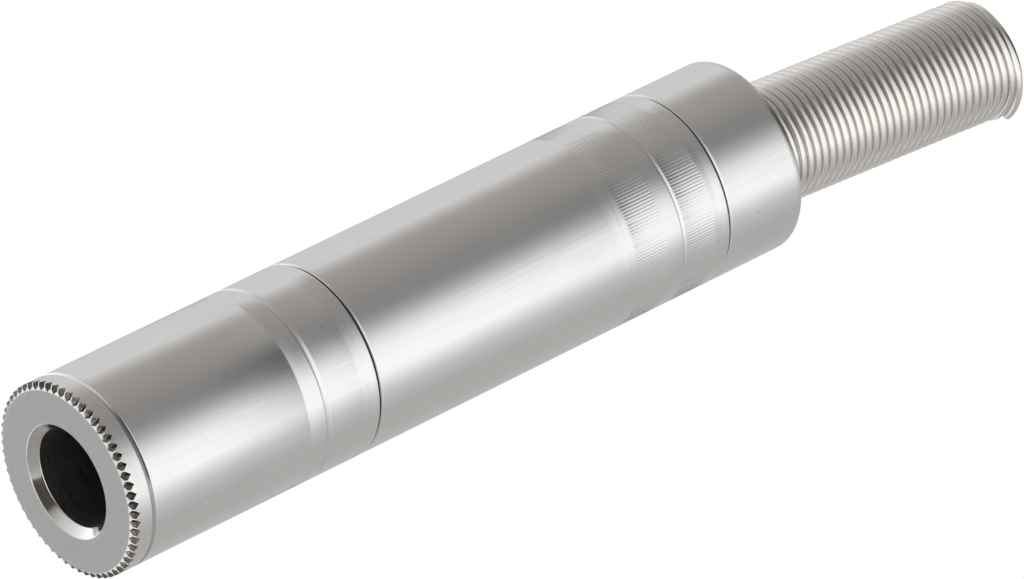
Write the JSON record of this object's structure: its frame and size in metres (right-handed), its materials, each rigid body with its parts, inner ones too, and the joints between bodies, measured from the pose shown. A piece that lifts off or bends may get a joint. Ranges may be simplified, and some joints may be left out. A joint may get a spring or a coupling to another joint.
{
  "type": "inline phone jack socket",
  "caption": "Inline metal phone jack socket: knurled front bush with a plug bore, screwed barrel over the contact stack, and a spring strain relief where the cable leaves.",
  "frame": {"origin": "centre of the flat front face, where the plug goes in; the socket stands on that face", "axes": "+Z along the plug's axis, from the front face towards the cable end; the contact springs lie at +X (tip) and -X (ring), and the relief spring leans towards -Y"},
  "size_m": [0.013, 0.013, 0.0764],
  "materials": {
    "nickel_shell": "satin",
    "nickel_bush": "satin",
    "spring_wire": "satin",
    "frame_sheet": "satin",
    "zinc_steel": "satin",
    "spring_bronze": "satin",
    "stack_board": "matte",
    "rivet_brass": "satin",
    "tube_nylon": "matte",
    "liner_film": "satin"
  },
  "bodies": {
    "front_assembly": {"front_bush": "nickel_bush", "front_sleeve": "nickel_shell", "lock_washer": "zinc_steel", "contact_frame": "frame_sheet", "frame_nut": "zinc_steel", "front_wafer": "stack_board", "middle_wafer": "stack_board", "rear_wafer": "stack_board", "backing_plate": "zinc_steel", "upper_rivet": "rivet_brass", "lower_rivet": "rivet_brass", "upper_rivet_tube": "tube_nylon", "lower_rivet_tube": "tube_nylon"},
    "tip_spring": {"tip_contact": "spring_bronze"},
    "ring_spring": {"ring_contact": "spring_bronze"},
    "liner": {"insulating_liner": "liner_film"},
    "seat": {"spring_seat": "nickel_shell"},
    "barrel": {"grip_barrel": "nickel_shell", "tail_cap": "nickel_shell"},
    "relief": {"relief_spring": "spring_wire"}
  },
  "joints": [
    {"name": "tip_flex", "type": "hinge", "parent": "front_assembly", "child": "tip_spring", "pos_m": [0.00359, 0, 0.0333], "axis": [0, -1, 0], "range_deg": [0, 5], "stiffness_Nm_per_rad": 0.09, "deforming": ["tip_contact"]},
    {"name": "ring_flex", "type": "hinge", "parent": "front_assembly", "child": "ring_spring", "pos_m": [-0.00359, 0, 0.0322], "axis": [0, 1, 0], "range_deg": [0, 3.5], "stiffness_Nm_per_rad": 0.065, "deforming": ["ring_contact"]},
    {"name": "pull_off", "type": "slide", "parent": "front_assembly", "child": "liner", "axis": [0, 0, 1], "range_m": [0, 0.03]},
    {"name": "thread_travel", "type": "slide", "parent": "liner", "child": "seat", "axis": [0, 0, 1], "range_m": [0, 0.00515]},
    {"name": "shell_turn", "type": "hinge", "parent": "seat", "child": "barrel", "pos_m": [0, 0, 0], "axis": [0, 0, 1], "range_deg": [0, 2470]},
    {"name": "relief_bend", "type": "hinge", "parent": "barrel", "child": "relief", "pos_m": [0, 0, 0.0553], "axis": [1, 0, 0], "range_deg": [-30, 30], "stiffness_Nm_per_rad": 0.03, "deforming": ["relief_spring"]}
  ],
  "couplings": [
    {"joint": "thread_travel", "follows": "shell_turn", "m_per_rad": 0.00011937}
  ]
}
